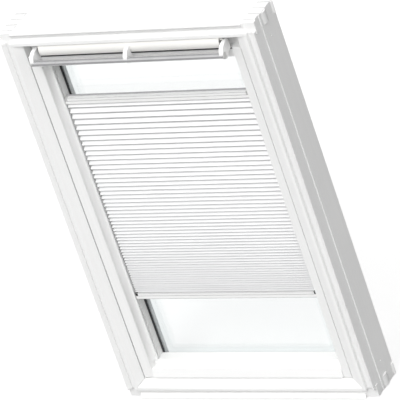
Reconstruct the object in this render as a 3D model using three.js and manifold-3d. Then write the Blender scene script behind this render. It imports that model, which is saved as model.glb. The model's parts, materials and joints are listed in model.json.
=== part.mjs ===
// Centre-pivot roof window with a pleated blind in side rails, seen from the room.
// Millimetres, +Z up. The room is on the -Y side.
// Working space: X from the middle, Y is the depth behind the frame's front face,
// Z is the height above the frame's foot. One outer group moves all of it into place.
import * as THREE from "three";
import Module from "manifold-3d";
import { mergeVertices } from "three/addons/utils/BufferGeometryUtils.js";

const wasm = await Module();
wasm.setup();

// Clearances
const fitGap = 0.3;
const cutOver = 5;

// Frame, outside
const frameWidth = 780;
const frameHeight = 1178;
const frameDepth = 126;
const halfWidth = frameWidth / 2;

// Frame section, from the outside inwards
const timberThickness = 36;
const frontSetback = 2.2;
const jambShoulderDepth = 45;
const crossShoulderDepth = 21;
const outerStripStart = 1.1;
const outerStripSlope = 7.5;
const outerStripEnd = outerStripStart + outerStripSlope;
const grooveOuterInset = 14;
const grooveWidth = 12.9;
const grooveInnerInset = grooveOuterInset + grooveWidth;
const grooveStep = 2.9;
const grooveDepth = outerStripEnd + grooveStep;
const mouldingWidth = 26.2;
const footMouldingWidth = 23.2;
const channelInset = timberThickness + mouldingWidth;
const footChannelInset = timberThickness + footMouldingWidth;
const bevelDepth = 11.7;
const rearRebateDepth = 30;
const rearRebateWidth = 12.2;
const rearRebateStart = frameDepth - rearRebateDepth;

// Frame corner joints
const cornerRecess = 12;
const fingerJointGap = 1;
const firstFingerEdge = 26;
const lastFingerDepth = 13;
const fingerPitch = (frameDepth - firstFingerEdge - lastFingerDepth) / 3;
const crossFingerProud = 6;
const jambFingerProud = 1;
const fingerEndSteps = 6;

// Sash, gaps to the frame and section
const sashGap = 4.3;
const sashFootGap = 5.3;
const sashHeadGap = 8;
const sashInset = channelInset + sashGap;
const sashFootInset = footChannelInset + sashFootGap;
const sashHeadInset = timberThickness + sashHeadGap;
const noseGap = 2.5;
const noseInset = channelInset + noseGap;
const footNoseInset = footChannelInset + noseGap;
const noseSetback = 1.3;
const noseDepth = bevelDepth + noseSetback;
const noseThickness = 17;
const noseBackDepth = noseDepth + noseThickness;
const sashSetback = 6.6;
const sashFrontDepth = bevelDepth + sashSetback;
const sashFaceWidth = 27.2;
const footFaceWidth = 26.1;
const sashArrisInset = noseInset + sashFaceWidth;
const footArrisInset = footNoseInset + footFaceWidth;
const headRecessHeight = 32.5;
const headFaceHeight = 27.5;
const headRecessDepth = 21.7;
const headFrontTop = sashHeadInset + headRecessHeight;
const headArris = headFrontTop + headFaceHeight;
const headWebDepth = sashFrontDepth + headRecessDepth;
const lipSetback = 23.7;
const lipDepth = sashFrontDepth + lipSetback;
const lipStep = 13.6;
const footLipStep = 15.6;
const lipThickness = 34;
const lipBackDepth = lipDepth + lipThickness;
const rebateLip = 6.5;
const footRebateLip = 14.8;
const glassRebateInset = sashArrisInset - rebateLip;
const footRebateInset = footArrisInset - footRebateLip;
const lipInset = sashArrisInset + lipStep;
const footLipInset = footArrisInset + footLipStep;
const headLipInset = headArris + lipStep;
const headRebateInset = headArris - rebateLip;

// Ventilation slots through the sash head
const ventSlots = 4;
const ventSlotEndInset = 130;
const ventSlotBridge = 16;
const ventSlotDrop = 7;
const ventSlotHeight = 16;
const ventSlotTop = sashHeadInset + ventSlotDrop;
const ventSlotBottom = ventSlotTop + ventSlotHeight;
const ventSlotPitch = (2 * (halfWidth - ventSlotEndInset) + ventSlotBridge) / ventSlots;
const ventSlotWidth = ventSlotPitch - ventSlotBridge;

// Glazing
const paneThickness = 4;
const gasketThickness = 3.4;
const gasketSideShow = 4.5;
const gasketFootBack = 2.6;
const spacerShow = 0.6;
const spacerFootBack = 11.9;
const spacerWidth = 12;
const cavityDepth = 14;
const paneEdgeClear = 2;
const paneBackClear = 2;
const paneFrontDepth = lipBackDepth + fitGap + gasketThickness + fitGap;
const cavityFrontDepth = paneFrontDepth + paneThickness;
const rearPaneDepth = cavityFrontDepth + cavityDepth;
const rearPaneBack = rearPaneDepth + paneThickness;
const sashBackDepth = rearPaneBack + paneBackClear;

// Outside glazing covers
const coverThickness = 2.2;
const coverEdgeGap = 1.5;
const coverOverlap = 8;
const coverLipWidth = 2.6;
const coverOuterInset = sashInset + coverEdgeGap;
const coverInnerInset = glassRebateInset + coverOverlap;
const coverFootInset = sashFootInset + coverEdgeGap;
const coverFootInner = footRebateInset + coverOverlap;
const coverHeadInset = headFrontTop + coverEdgeGap;
const coverHeadInner = headRebateInset + coverOverlap;

// Frame seal
const sealSetback = 16;
const sealWidth = 6;
const sealThickness = noseGap - 2 * fitGap;
const sealDepth = rearRebateStart - sealSetback;

// Sash pivots at mid height
const pivotHeight = frameHeight / 2;
const pivotSetback = 37.7;
const pivotDepth = sashFrontDepth + pivotSetback;
const pivotPlateLength = 92;
const pivotPlateWidth = 30;
const pivotPlateThickness = 3;
const pivotPinRadius = 7.5;
const pivotPinReach = 16;
const pivotBushWall = 4.5;
const pivotBushRadius = pivotPinRadius + pivotBushWall;
const pivotBushEnd = 2;
const pivotBushLength = pivotPinReach + pivotBushEnd;
const pivotRunGap = 0.4;
const pivotEndGap = 0.8;
const pivotSides = 24;

// Ventilation flap and its hinge on the sash
const flapEndInset = 114;
const flapHalfWidth = halfWidth - flapEndInset;
const flapFrontDepth = 0.3;
const flapTopGap = 2.5;
const flapTopInset = timberThickness + flapTopGap;
const flapHeight = 28.5;
const flapFootInset = flapTopInset + flapHeight;
const flapBulge = 1.8;
const flapTopReturn = 4.7;
const flapFootReturn = 2.2;
const flapTopPower = 3;
const flapFootPower = 4;
const flapSkin = 3.6;
const flapLipGap = 4.3;
const flapLipDrop = 7.2;
const flapLipDepth = sashFrontDepth - flapLipGap;
const flapLipInset = flapFootInset + flapLipDrop;
const flapSpineDepth = 8.5;
const flapCurveSteps = 12;
const hingeSetback = 2.5;
const hingeDrop = 8;
const hingeDepth = flapSpineDepth + hingeSetback;
const hingeInset = flapTopInset + hingeDrop;
const hingePinRadius = 2.6;
const hingeLugRadius = 5;
const hingeLugWidth = 14;
const hingeLugInset = 200;
const hingeLugOffset = halfWidth - hingeLugInset;
const hingeFootLength = 15;
const hingeSides = 16;

// Control bar and its arms
const barDepth = -20;
const barDrop = 10;
const barInset = flapFootInset + barDrop;
const barRadius = 9;
const barFlat = 6.2;
const barEndInset = 97.6;
const barHalfLength = halfWidth - barEndInset;
const barCapLength = 3.2;
const barSides = 32;
const armThickness = 12;
const armInset = 100;
const armOffset = halfWidth - armInset;
const armBackGap = 2.3;
const armBackDepth = sashFrontDepth - armBackGap;
const armBendDepth = 6;
const armTopDrop = 8.5;
const armTopInset = flapTopInset + armTopDrop;
const armRootDrop = 1.8;
const armRootInset = flapLipInset + armRootDrop;
const armTipRise = 4;
const armTipBack = 0.5;
const armFootDrop = 3;
const armFootWall = 3.4;
const armSteps = 9;

// Seal between flap and sash head
const ventSealDrop = 0.7;
const ventSealTop = headFrontTop + ventSealDrop;
const ventSealHeight = 2.6;
const ventSealThickness = 1.4;

// Lock behind the flap
const lockHalfWidth = 52;
const lockDepth = 16.7;
const lockBackDepth = headWebDepth - fitGap;
const lockDepthFront = lockBackDepth - lockDepth;
const lockDrop = 6;
const lockHeight = 23;
const lockTop = sashHeadInset + lockDrop;
const lockBottom = lockTop + lockHeight;
const lockWall = 2.4;
const latchHalfWidth = 13;
const latchHoleGap = 3;
const latchPivotSetback = 8;
const latchPivotDepth = lockDepthFront + latchPivotSetback;
const latchPivotDrop = 10;
const latchPivotInset = lockTop + latchPivotDrop;
const latchTipGap = 4.6;
const latchTip = timberThickness + latchTipGap;
const latchThickness = 6;
const latchNose = 4;
const strikerHalfWidth = 34;
const strikerThickness = 2;
const strikerSetback = 1;
const strikerWidth = 20;
const strikerDepthFront = lockDepthFront + strikerSetback;
const strikerDepthBack = strikerDepthFront + strikerWidth;

// Blind side rails
const railDepth = 16;
const railFrontDepth = lipDepth;
const railBackDepth = railFrontDepth + railDepth;
const railWall = 1.8;
const railSlot = 2.6;
const railEndGap = 0.6;
const railCoveRise = 22.5;
const railCoveSteps = 9;
const railCoveEdge = 0.7;
const railNoseWidth = 2;
const railMidDepth = (railFrontDepth + railBackDepth) / 2;

// Blind bars and shoes
const barSetback = 2;
const barFrontDepth = railFrontDepth + barSetback;
const blindBarDepth = 17;
const blindBarHeight = 19;
const blindBarSideGap = 1.4;
const barGrooveDrop = 8.5;
const barGrooveHeight = 2;
const barGrooveDepth = 2;
const rearSlotSetback = 12.6;
const rearSlotWidth = 3;
const rearSlotDepth = 4;
const fabricSlotWidth = 4;
const fabricSlotDepth = 5;
const clearHeight = frameHeight - headLipInset - footLipInset;
const topBarShare = 0.115;
const bottomBarShare = 0.208;
const topBarInset = headLipInset + clearHeight * topBarShare;
const bottomBarInset = frameHeight - footLipInset - clearHeight * bottomBarShare - blindBarHeight;
const shoeNotchLength = 8;
const shoeNotchHeight = 9.4;
const shoeSetback = 1.2;
const shoeFrontDepth = barFrontDepth + shoeSetback;
const shoeNeckThickness = 1.6;
const shoeSlideGap = 1;
const shoeSlideLength = 34;

// Pleated fabric
const pleatCount = 53;
const pleatPitchShare = 0.345;
const pleatFacet = 12.4;
const fabricThickness = 0.7;
const fabricSetback = 0.6;
const fabricFrontDepth = barFrontDepth + fabricSetback;
const fabricSideGap = 3.6;

const black = 0x1c1d1f;
const white = 0xf4f4f2;
const warmWhite = 0xeeece6;
const metalGrey = 0xb9bcc0;

const looks = {
  timber: { color: white, roughness: 0.42, metalness: 0 },
  flap: { color: warmWhite, roughness: 0.4, metalness: 0.05 },
  arm: { color: white, roughness: 0.35, metalness: 0.05 },
  aluminium: { color: metalGrey, roughness: 0.32, metalness: 0.9 },
  rail: { color: white, roughness: 0.38, metalness: 0.1 },
  steel: { color: metalGrey, roughness: 0.4, metalness: 0.9 },
  rubber: { color: black, roughness: 0.8, metalness: 0 },
  spacer: { color: metalGrey, roughness: 0.5, metalness: 0.6 },
  glass: { color: 0xe9f1ef, roughness: 0.04, metalness: 0 },
  cover: { color: 0x5b6066, roughness: 0.45, metalness: 0.5 },
  plastic: { color: 0xd9d9d6, roughness: 0.5, metalness: 0 },
  darkPlastic: { color: black, roughness: 0.55, metalness: 0 },
  fabric: { color: white, roughness: 0.9, metalness: 0 },
};

// Solids

function toSolid(geometry) {
  const bare = geometry.index ? geometry.toNonIndexed() : geometry;
  bare.deleteAttribute("normal");
  bare.deleteAttribute("uv");
  const merged = mergeVertices(bare);
  return new wasm.Manifold(
    new wasm.Mesh({
      numProp: 3,
      vertProperties: merged.attributes.position.array,
      triVerts: new Uint32Array(merged.index.array),
    }),
  );
}

function toGeometry(solid) {
  const made = solid.getMesh();
  const geometry = new THREE.BufferGeometry();
  const points = new THREE.BufferAttribute(new Float32Array(made.vertProperties), made.numProp);
  geometry.setAttribute("position", points);
  geometry.setIndex(new THREE.BufferAttribute(new Uint32Array(made.triVerts), 1));
  const flat = geometry.toNonIndexed();
  flat.computeVertexNormals();
  return flat;
}

// A hole has to run the other way round from its outline.
function extrude(outline, from, to, hole) {
  const points = outline.map(([a, b]) => new THREE.Vector2(a, b));
  const shape = new THREE.Shape(points);
  if (hole) {
    const inner = hole.map(([a, b]) => new THREE.Vector2(a, b));
    const sameWay = THREE.ShapeUtils.isClockWise(inner) === THREE.ShapeUtils.isClockWise(points);
    shape.holes.push(new THREE.Path(sameWay ? inner.reverse() : inner));
  }
  const made = new THREE.ExtrudeGeometry(shape, { depth: to - from, bevelEnabled: false });
  return made.translate(0, 0, from);
}

const alongXTurn = new THREE.Matrix4().makeBasis(
  new THREE.Vector3(0, 1, 0),
  new THREE.Vector3(0, 0, 1),
  new THREE.Vector3(1, 0, 0),
);
const alongYTurn = new THREE.Matrix4().makeBasis(
  new THREE.Vector3(0, 0, 1),
  new THREE.Vector3(1, 0, 0),
  new THREE.Vector3(0, 1, 0),
);

// Outline points are [depth, height].
function alongX(outline, from, to) {
  return toSolid(extrude(outline, from, to).applyMatrix4(alongXTurn));
}

// Outline points are [x, height].
function alongY(outline, from, to, hole) {
  const turned = outline.map(([x, z]) => [z, x]);
  const turnedHole = hole && hole.map(([x, z]) => [z, x]);
  return toSolid(extrude(turned, from, to, turnedHole).applyMatrix4(alongYTurn));
}

// Outline points are [x, depth].
function alongZ(outline, from, to) {
  return toSolid(extrude(outline, from, to));
}

function block(xs, ys, zs) {
  const low = [Math.min(...xs), Math.min(...ys), Math.min(...zs)];
  const high = [Math.max(...xs), Math.max(...ys), Math.max(...zs)];
  const made = new THREE.BoxGeometry(high[0] - low[0], high[1] - low[1], high[2] - low[2]);
  made.translate((low[0] + high[0]) / 2, (low[1] + high[1]) / 2, (low[2] + high[2]) / 2);
  return toSolid(made);
}

function circle(centre, radius, sides) {
  return Array.from({ length: sides }, (_, i) => {
    const turn = (2 * Math.PI * i) / sides;
    return [centre[0] + radius * Math.cos(turn), centre[1] + radius * Math.sin(turn)];
  });
}

function rodAlongX(depth, height, radius, from, to, sides) {
  return alongX(circle([depth, height], radius, sides), from, to);
}

// Places: an inset from the left (-1) or right (+1) side, and a height under the head.

const atSide = (side, inset) => side * (halfWidth - inset);
const underHead = (drop) => frameHeight - drop;
const fromEnd = (end, rise) => (end === "foot" ? rise : underHead(rise));

const group = new THREE.Group();
const placed = new THREE.Group();
group.add(placed);

function add(name, solid, look) {
  const mesh = new THREE.Mesh(toGeometry(solid), new THREE.MeshStandardMaterial(looks[look]));
  mesh.name = name;
  placed.add(mesh);
}

// Frame

const fingerEdge = (count) => firstFingerEdge + fingerPitch * count;
const crossFingers = [
  [cornerRecess, fingerEdge(0)],
  [fingerEdge(1), fingerEdge(2)],
  [fingerEdge(3), frameDepth],
];
const jambFingers = [
  [fingerEdge(0), fingerEdge(1)],
  [fingerEdge(2), fingerEdge(3)],
];

// The rounded end of one finger: pairs of how far it stands proud and its depth.
function fingerEnd([from, to], proud) {
  const low = from + fingerJointGap / 2;
  const span = to - from - fingerJointGap;
  const rim = Array.from({ length: fingerEndSteps + 1 }, (_, i) => {
    const share = i / fingerEndSteps;
    return [proud * Math.sin(Math.PI * share), low + span * share];
  });
  return [[-cutOver, low], ...rim, [-cutOver, low + span]];
}

// Points are [inset, depth]. The head has no moulding and so no channel.
function frameSection(shoulderDepth, channel) {
  const inner = channel
    ? [
        [channel, bevelDepth],
        [channel, rearRebateStart],
        [channel - rearRebateWidth, rearRebateStart],
        [channel - rearRebateWidth, frameDepth],
      ]
    : [[timberThickness, frameDepth]];
  return [
    [frontSetback, outerStripStart],
    [grooveOuterInset, outerStripEnd],
    [grooveOuterInset, grooveDepth],
    [grooveInnerInset, grooveDepth],
    [grooveInnerInset, 0],
    [timberThickness, 0],
    ...inner,
    [0, frameDepth],
    [0, shoulderDepth],
    [frontSetback, shoulderDepth],
  ];
}

function jambEndCuts(side, end) {
  const overEnd = fromEnd(end, -cutOver);
  const underCross = fromEnd(end, timberThickness + fitGap);
  const fullX = [atSide(side, -cutOver), atSide(side, timberThickness)];
  const half = fingerJointGap / 2;
  const cuts = crossFingers.map(([from, to]) =>
    block(fullX, [from - half, to + half], [overEnd, underCross]),
  );
  cuts.push(block(fullX, [-cutOver, cornerRecess], [overEnd, underCross]));
  return cuts;
}

function jamb(side) {
  const outline = frameSection(jambShoulderDepth, channelInset).map(([inset, depth]) => [
    atSide(side, inset),
    depth,
  ]);
  let body = alongZ(outline, 0, frameHeight);
  for (const end of ["foot", "head"]) {
    for (const cut of jambEndCuts(side, end)) body = body.subtract(cut);
    for (const finger of jambFingers) {
      const rim = fingerEnd(finger, jambFingerProud).map(([proud, depth]) => [
        depth,
        fromEnd(end, -proud),
      ]);
      const xs = [atSide(side, frontSetback), atSide(side, timberThickness)];
      xs.sort((a, b) => a - b);
      body = body.add(alongX(rim, xs[0], xs[1]));
    }
  }
  const mouldingX = [atSide(side, timberThickness), atSide(side, channelInset + cutOver)];
  const depths = [-cutOver, frameDepth + cutOver];
  const underHeadZ = [underHead(-cutOver), underHead(timberThickness + fitGap)];
  body = body.subtract(block(mouldingX, depths, underHeadZ));
  const mitre = [
    [atSide(side, timberThickness), -cutOver],
    [atSide(side, timberThickness), timberThickness + fitGap],
    [atSide(side, channelInset + cutOver), mitreHeight(channelInset + cutOver) + fitGap],
    [atSide(side, channelInset + cutOver), -cutOver],
  ];
  body = body.subtract(alongY(mitre, depths[0], depths[1]));
  return body.subtract(pivotPocket(side));
}

// The mitre between the mouldings of jamb and foot: its height at an inset from the side.
function mitreHeight(inset) {
  return timberThickness + (inset - timberThickness) * (footMouldingWidth / mouldingWidth);
}

function crossMember(end) {
  const isFoot = end === "foot";
  const channel = isFoot ? footChannelInset : 0;
  const outline = frameSection(crossShoulderDepth, channel).map(([inset, depth]) => [
    depth,
    fromEnd(end, inset),
  ]);
  const overEnd = fromEnd(end, -cutOver);
  const inside = fromEnd(end, timberThickness + cutOver);
  let body = alongX(outline, -halfWidth, halfWidth);
  for (const side of [-1, 1]) {
    for (const [from, to] of jambFingers) {
      const xs = [atSide(side, -cutOver), atSide(side, timberThickness + fitGap)];
      const half = fingerJointGap / 2;
      body = body.subtract(block(xs, [from - half, to + half], [overEnd, inside]));
    }
    const notchX = [atSide(side, -cutOver), atSide(side, timberThickness + fitGap)];
    const notchDepths = [-cutOver, cornerRecess + fingerJointGap / 2];
    body = body.subtract(block(notchX, notchDepths, [overEnd, inside]));
    for (const finger of crossFingers) {
      const rim = fingerEnd(finger, crossFingerProud).map(([proud, depth]) => [
        atSide(side, -proud),
        depth,
      ]);
      const zs = [fromEnd(end, frontSetback), fromEnd(end, timberThickness)].sort((a, b) => a - b);
      body = body.add(alongZ(rim, zs[0], zs[1]));
    }
    if (isFoot) body = body.subtract(footMitre(side));
  }
  return isFoot ? body : body.subtract(strikerPocket());
}

function footMitre(side) {
  const shift = fitGap * Math.SQRT2;
  const top = mitreHeight(channelInset + cutOver);
  const outline = [
    [atSide(side, 0), timberThickness],
    [atSide(side, timberThickness + shift), timberThickness],
    [atSide(side, channelInset + cutOver + shift), top],
    [atSide(side, 0), top],
  ];
  return alongY(outline, -cutOver, frameDepth + cutOver);
}

// A rectangular ring in the plane of the window, given by insets on its outer and inner edge.
function ring(outer, inner, from, to) {
  const corners = ({ sides, foot, head }) => [
    [atSide(-1, sides), foot],
    [atSide(1, sides), foot],
    [atSide(1, sides), underHead(head)],
    [atSide(-1, sides), underHead(head)],
  ];
  return alongY(corners(outer), from, to, corners(inner));
}

// The same three insets, each further in.
function grown({ sides, foot, head }, by) {
  return { sides: sides + by, foot: foot + by, head: head + by };
}

function frameSeal() {
  const wall = { sides: channelInset, foot: footChannelInset, head: timberThickness };
  const outer = grown(wall, fitGap);
  return ring(outer, grown(outer, sealThickness), sealDepth, sealDepth + sealWidth);
}

// Pivots

function pivotPlateBox(side, insetFrom, insetTo, grow) {
  const halfLength = pivotPlateLength / 2 + grow;
  const halfPlate = pivotPlateWidth / 2 + grow;
  return block(
    [atSide(side, insetFrom), atSide(side, insetTo)],
    [pivotDepth - halfPlate, pivotDepth + halfPlate],
    [pivotHeight - halfLength, pivotHeight + halfLength],
  );
}

function pivotRod(side, radius, insetFrom, insetTo) {
  const xs = [atSide(side, insetFrom), atSide(side, insetTo)].sort((a, b) => a - b);
  return rodAlongX(pivotDepth, pivotHeight, radius, xs[0], xs[1], pivotSides);
}

function pivotPocket(side) {
  const plateBack = channelInset - pivotPlateThickness - fitGap;
  const plate = pivotPlateBox(side, plateBack, channelInset + cutOver, fitGap);
  const bushEnd = channelInset - pivotBushLength - fitGap;
  return plate.add(pivotRod(side, pivotBushRadius + fitGap, bushEnd, channelInset));
}

function framePivot(side) {
  const plateBack = channelInset - pivotPlateThickness;
  const plate = pivotPlateBox(side, plateBack, channelInset, 0);
  const bush = pivotRod(side, pivotBushRadius, channelInset - pivotBushLength, channelInset);
  const hole = pivotRod(
    side,
    pivotPinRadius + pivotRunGap,
    channelInset - pivotPinReach,
    channelInset + cutOver,
  );
  return plate.add(bush).subtract(hole);
}

function sashPivot(side) {
  const plate = pivotPlateBox(side, sashInset, sashInset + pivotPlateThickness, 0);
  const pin = pivotRod(
    side,
    pivotPinRadius,
    channelInset - pivotPinReach + pivotEndGap,
    sashInset + pivotPlateThickness,
  );
  return plate.add(pin);
}

function sashPivotPocket(side) {
  const back = sashInset + pivotPlateThickness + fitGap;
  return pivotPlateBox(side, sashInset - cutOver, back, fitGap);
}

// Sash

// The sash's section: its front edge has a nose that reaches closer to the frame.
function sashStile(side) {
  const outline = [
    [noseInset, noseDepth],
    [sashArrisInset, sashFrontDepth],
    [sashArrisInset, lipDepth],
    [lipInset, lipDepth],
    [lipInset, lipBackDepth],
    [glassRebateInset, lipBackDepth],
    [glassRebateInset, sashBackDepth],
    [sashInset, sashBackDepth],
    [sashInset, noseBackDepth],
    [noseInset, noseBackDepth],
  ].map(([inset, depth]) => [atSide(side, inset), depth]);
  const body = alongZ(outline, footNoseInset, underHead(sashHeadInset));
  const footBack = block(
    [atSide(side, 0), atSide(side, lipInset + cutOver)],
    [noseBackDepth, sashBackDepth + cutOver],
    [0, sashFootInset],
  );
  const frontTop = block(
    [atSide(side, noseInset - cutOver), atSide(side, lipInset + cutOver)],
    [0, headWebDepth],
    [underHead(headFrontTop), underHead(0)],
  );
  const railSeat = block(
    [atSide(side, sashArrisInset), atSide(side, lipInset + cutOver)],
    [lipDepth - cutOver, railBackDepth + fitGap],
    [footLipInset, underHead(headLipInset)],
  );
  const cuts = [frontTop, footBack, railSeat, sashPivotPocket(side)];
  return cuts.reduce((left, cut) => left.subtract(cut), body);
}

// Cuts a cross rail of the sash back to the stiles: further in where the stiles have their lip.
function betweenStiles(body, end) {
  const zs = [fromEnd(end, 0), fromEnd(end, headLipInset + cutOver)];
  let cut = body;
  for (const side of [-1, 1]) {
    const outside = atSide(side, 0);
    const nearX = [outside, atSide(side, sashArrisInset + fitGap)];
    const lipX = [outside, atSide(side, lipInset + fitGap)];
    cut = cut.subtract(block(nearX, [0, frameDepth], zs));
    cut = cut.subtract(block(lipX, [lipDepth - fitGap, lipBackDepth + fitGap], zs));
  }
  return cut;
}

function sashFoot() {
  const outline = [
    [noseDepth, footNoseInset],
    [sashFrontDepth, footArrisInset],
    [lipDepth, footArrisInset],
    [lipDepth, footLipInset],
    [lipBackDepth, footLipInset],
    [lipBackDepth, footRebateInset],
    [sashBackDepth, footRebateInset],
    [sashBackDepth, sashFootInset],
    [noseBackDepth, sashFootInset],
    [noseBackDepth, footNoseInset],
  ];
  return betweenStiles(alongX(outline, -halfWidth, halfWidth), "foot");
}

function ventSlotCut(index) {
  const middle = (index - (ventSlots - 1) / 2) * ventSlotPitch;
  return block(
    [middle - ventSlotWidth / 2, middle + ventSlotWidth / 2],
    [headWebDepth - cutOver, sashBackDepth + cutOver],
    [underHead(ventSlotTop), underHead(ventSlotBottom)],
  );
}

function sashHead() {
  const outline = [
    [sashFrontDepth, headArris],
    [sashFrontDepth, headFrontTop],
    [headWebDepth, headFrontTop],
    [headWebDepth, sashHeadInset],
    [sashBackDepth, sashHeadInset],
    [sashBackDepth, headRebateInset],
    [lipBackDepth, headRebateInset],
    [lipBackDepth, headLipInset],
    [lipDepth, headLipInset],
    [lipDepth, headArris],
  ].map(([depth, drop]) => [depth, underHead(drop)]);
  let body = betweenStiles(alongX(outline, -halfWidth, halfWidth), "head");
  for (let i = 0; i < ventSlots; i += 1) body = body.subtract(ventSlotCut(i));
  return body;
}

// Glazing

function paneEdge() {
  const rebate = { sides: glassRebateInset, foot: footRebateInset, head: headRebateInset };
  return grown(rebate, paneEdgeClear);
}

function pane(depth) {
  const edge = paneEdge();
  return block(
    [atSide(-1, edge.sides), atSide(1, edge.sides)],
    [depth, depth + paneThickness],
    [edge.foot, underHead(edge.head)],
  );
}

const gasketInner = {
  sides: lipInset + gasketSideShow,
  foot: footLipInset - gasketFootBack,
  head: headLipInset + gasketSideShow,
};

function glazingGasket() {
  const from = lipBackDepth + fitGap;
  return ring(paneEdge(), gasketInner, from, from + gasketThickness);
}

function glassSpacer() {
  const inner = {
    sides: gasketInner.sides + spacerShow,
    foot: gasketInner.foot - spacerFootBack,
    head: gasketInner.head + spacerShow,
  };
  const depths = [cavityFrontDepth + fitGap, rearPaneDepth - fitGap];
  return ring(grown(inner, -spacerWidth), inner, depths[0], depths[1]);
}

// Insets of a line along a cover, at a share of the way from its outer to its inner edge.
function coverLine(share) {
  return {
    sides: coverOuterInset + share * (coverInnerInset - coverOuterInset),
    foot: coverFootInset + share * (coverFootInner - coverFootInset),
    head: coverHeadInset + share * (coverHeadInner - coverHeadInset),
  };
}

// One mitred cover: a flange on the sash with a lip down to the outer pane.
function cover(edge) {
  const back = sashBackDepth + fitGap + coverThickness;
  const lipShare = 1 - coverLipWidth / (coverInnerInset - coverOuterInset);
  const flange = coverOutline(edge, coverLine(0), coverLine(1));
  const lip = coverOutline(edge, coverLine(lipShare), coverLine(1));
  return alongY(flange, sashBackDepth + fitGap, back).add(alongY(lip, rearPaneBack + fitGap, back));
}

function coverOutline(edge, outer, inner) {
  const gap = fitGap / 2;
  if (edge === "foot") {
    return [
      [atSide(-1, outer.sides + gap), outer.foot],
      [atSide(1, outer.sides + gap), outer.foot],
      [atSide(1, inner.sides + gap), inner.foot],
      [atSide(-1, inner.sides + gap), inner.foot],
    ];
  }
  if (edge === "head") {
    return [
      [atSide(-1, outer.sides + gap), underHead(outer.head)],
      [atSide(1, outer.sides + gap), underHead(outer.head)],
      [atSide(1, inner.sides + gap), underHead(inner.head)],
      [atSide(-1, inner.sides + gap), underHead(inner.head)],
    ];
  }
  const side = edge === "left" ? -1 : 1;
  return [
    [atSide(side, outer.sides), outer.foot + gap],
    [atSide(side, inner.sides), inner.foot + gap],
    [atSide(side, inner.sides), underHead(inner.head + gap)],
    [atSide(side, outer.sides), underHead(outer.head + gap)],
  ];
}

// Ventilation flap, its hinges, arms and bar

// The flap's front: bulged, and turned back at its top and foot.
const flapFront = Array.from({ length: flapCurveSteps + 1 }, (_, i) => {
  const share = i / flapCurveSteps;
  const drop = flapTopInset + flapHeight * share;
  const turn = flapTopReturn * (1 - share) ** flapTopPower + flapFootReturn * share ** flapFootPower;
  return [flapFrontDepth + turn - flapBulge * Math.sin(Math.PI * share), underHead(drop)];
});
const flapForemost = Math.min(...flapFront.map(([depth]) => depth));

function ventFlap() {
  const back = flapFront.map(([depth, z]) => [depth + flapSkin, z]);
  const innerTop = underHead(flapTopInset + flapSkin);
  const innerBack = back.filter(([, z]) => z < innerTop && z > underHead(flapFootInset - flapSkin));
  const outline = [
    ...flapFront,
    [flapLipDepth, underHead(flapLipInset)],
    [flapLipDepth, underHead(flapLipInset - flapSkin)],
    [back[flapCurveSteps][0], underHead(flapFootInset - flapSkin)],
    ...innerBack.reverse(),
    [back[0][0], innerTop],
    [flapSpineDepth, innerTop],
    [flapSpineDepth, underHead(flapTopInset)],
  ];
  const pinEnds = [hingeLugOffset + hingeLugWidth, armOffset - armThickness / 2 - fitGap];
  let body = alongX(outline, -flapHalfWidth, flapHalfWidth);
  for (const side of [-1, 1]) {
    body = body.subtract(hingeRound(side * hingeLugOffset, hingeLugRadius + fitGap, hingeLugWidth / 2));
    for (const middle of [hingeLugOffset - hingeLugWidth, hingeLugOffset + hingeLugWidth]) {
      body = body.add(flapKnuckle(side * middle));
    }
    const xs = [side * pinEnds[0], side * pinEnds[1]].sort((a, b) => a - b);
    const pin = rodAlongX(hingeDepth, underHead(hingeInset), hingePinRadius, xs[0], xs[1], hingeSides);
    body = body.add(pin);
  }
  return body;
}

function hingeRound(middle, radius, half) {
  const z = underHead(hingeInset);
  return rodAlongX(hingeDepth, z, radius, middle - half, middle + half, hingeSides);
}

// A hinge knuckle joined to the flap's top edge.
function flapKnuckle(middle) {
  const half = hingeLugWidth / 2 - fitGap;
  const z = underHead(hingeInset);
  const round = hingeRound(middle, hingeLugRadius, half);
  const neck = block(
    [middle - half, middle + half],
    [flapSpineDepth - flapSkin, hingeDepth],
    [underHead(flapTopInset), z],
  );
  return round.add(neck);
}

function hingePin(side) {
  return hingeRound(side * hingeLugOffset, hingePinRadius, hingeLugWidth / 2);
}

function flapHinge(side) {
  const half = hingeLugWidth / 2 - fitGap;
  const middle = side * hingeLugOffset;
  const z = underHead(hingeInset);
  const eye = hingeRound(middle, hingeLugRadius, half);
  const arm = block(
    [middle - half, middle + half],
    [hingeDepth, headWebDepth - fitGap],
    [z - hingeLugRadius, z],
  );
  const foot = block(
    [middle - half, middle + half],
    [headWebDepth - fitGap - flapSkin, headWebDepth - fitGap],
    [z - hingeFootLength, z],
  );
  const hole = hingeRound(middle, hingePinRadius + fitGap, hingeLugWidth);
  return eye.add(arm).add(foot).subtract(hole);
}

// The arm's outline: an outer quarter arc down to the bar and a hollow inner arc back.
function armOutline() {
  const front = barDepth - barRadius + armTipBack;
  const tipInset = barInset - armTipRise;
  const footInset = barInset + barRadius + armFootDrop;
  const footDepth = barDepth + barFlat + armFootWall;
  const quarter = Array.from({ length: armSteps + 1 }, (_, i) => (Math.PI / 2) * (i / armSteps));
  const outer = quarter.map((turn) => [
    armBendDepth - (armBendDepth - front) * Math.sin(turn),
    underHead(tipInset - (tipInset - armTopInset) * Math.cos(turn)),
  ]);
  const inner = quarter.map((turn) => [
    armBackDepth - (armBackDepth - footDepth) * Math.cos(turn),
    underHead(footInset - (footInset - armRootInset) * Math.sin(turn)),
  ]);
  const seatMiddle = [barDepth, underHead(barInset)];
  const seatFoot = [barDepth + armTipBack, underHead(footInset)];
  return [[armBackDepth, underHead(armTopInset)], ...outer, seatMiddle, seatFoot, ...inner];
}

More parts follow.
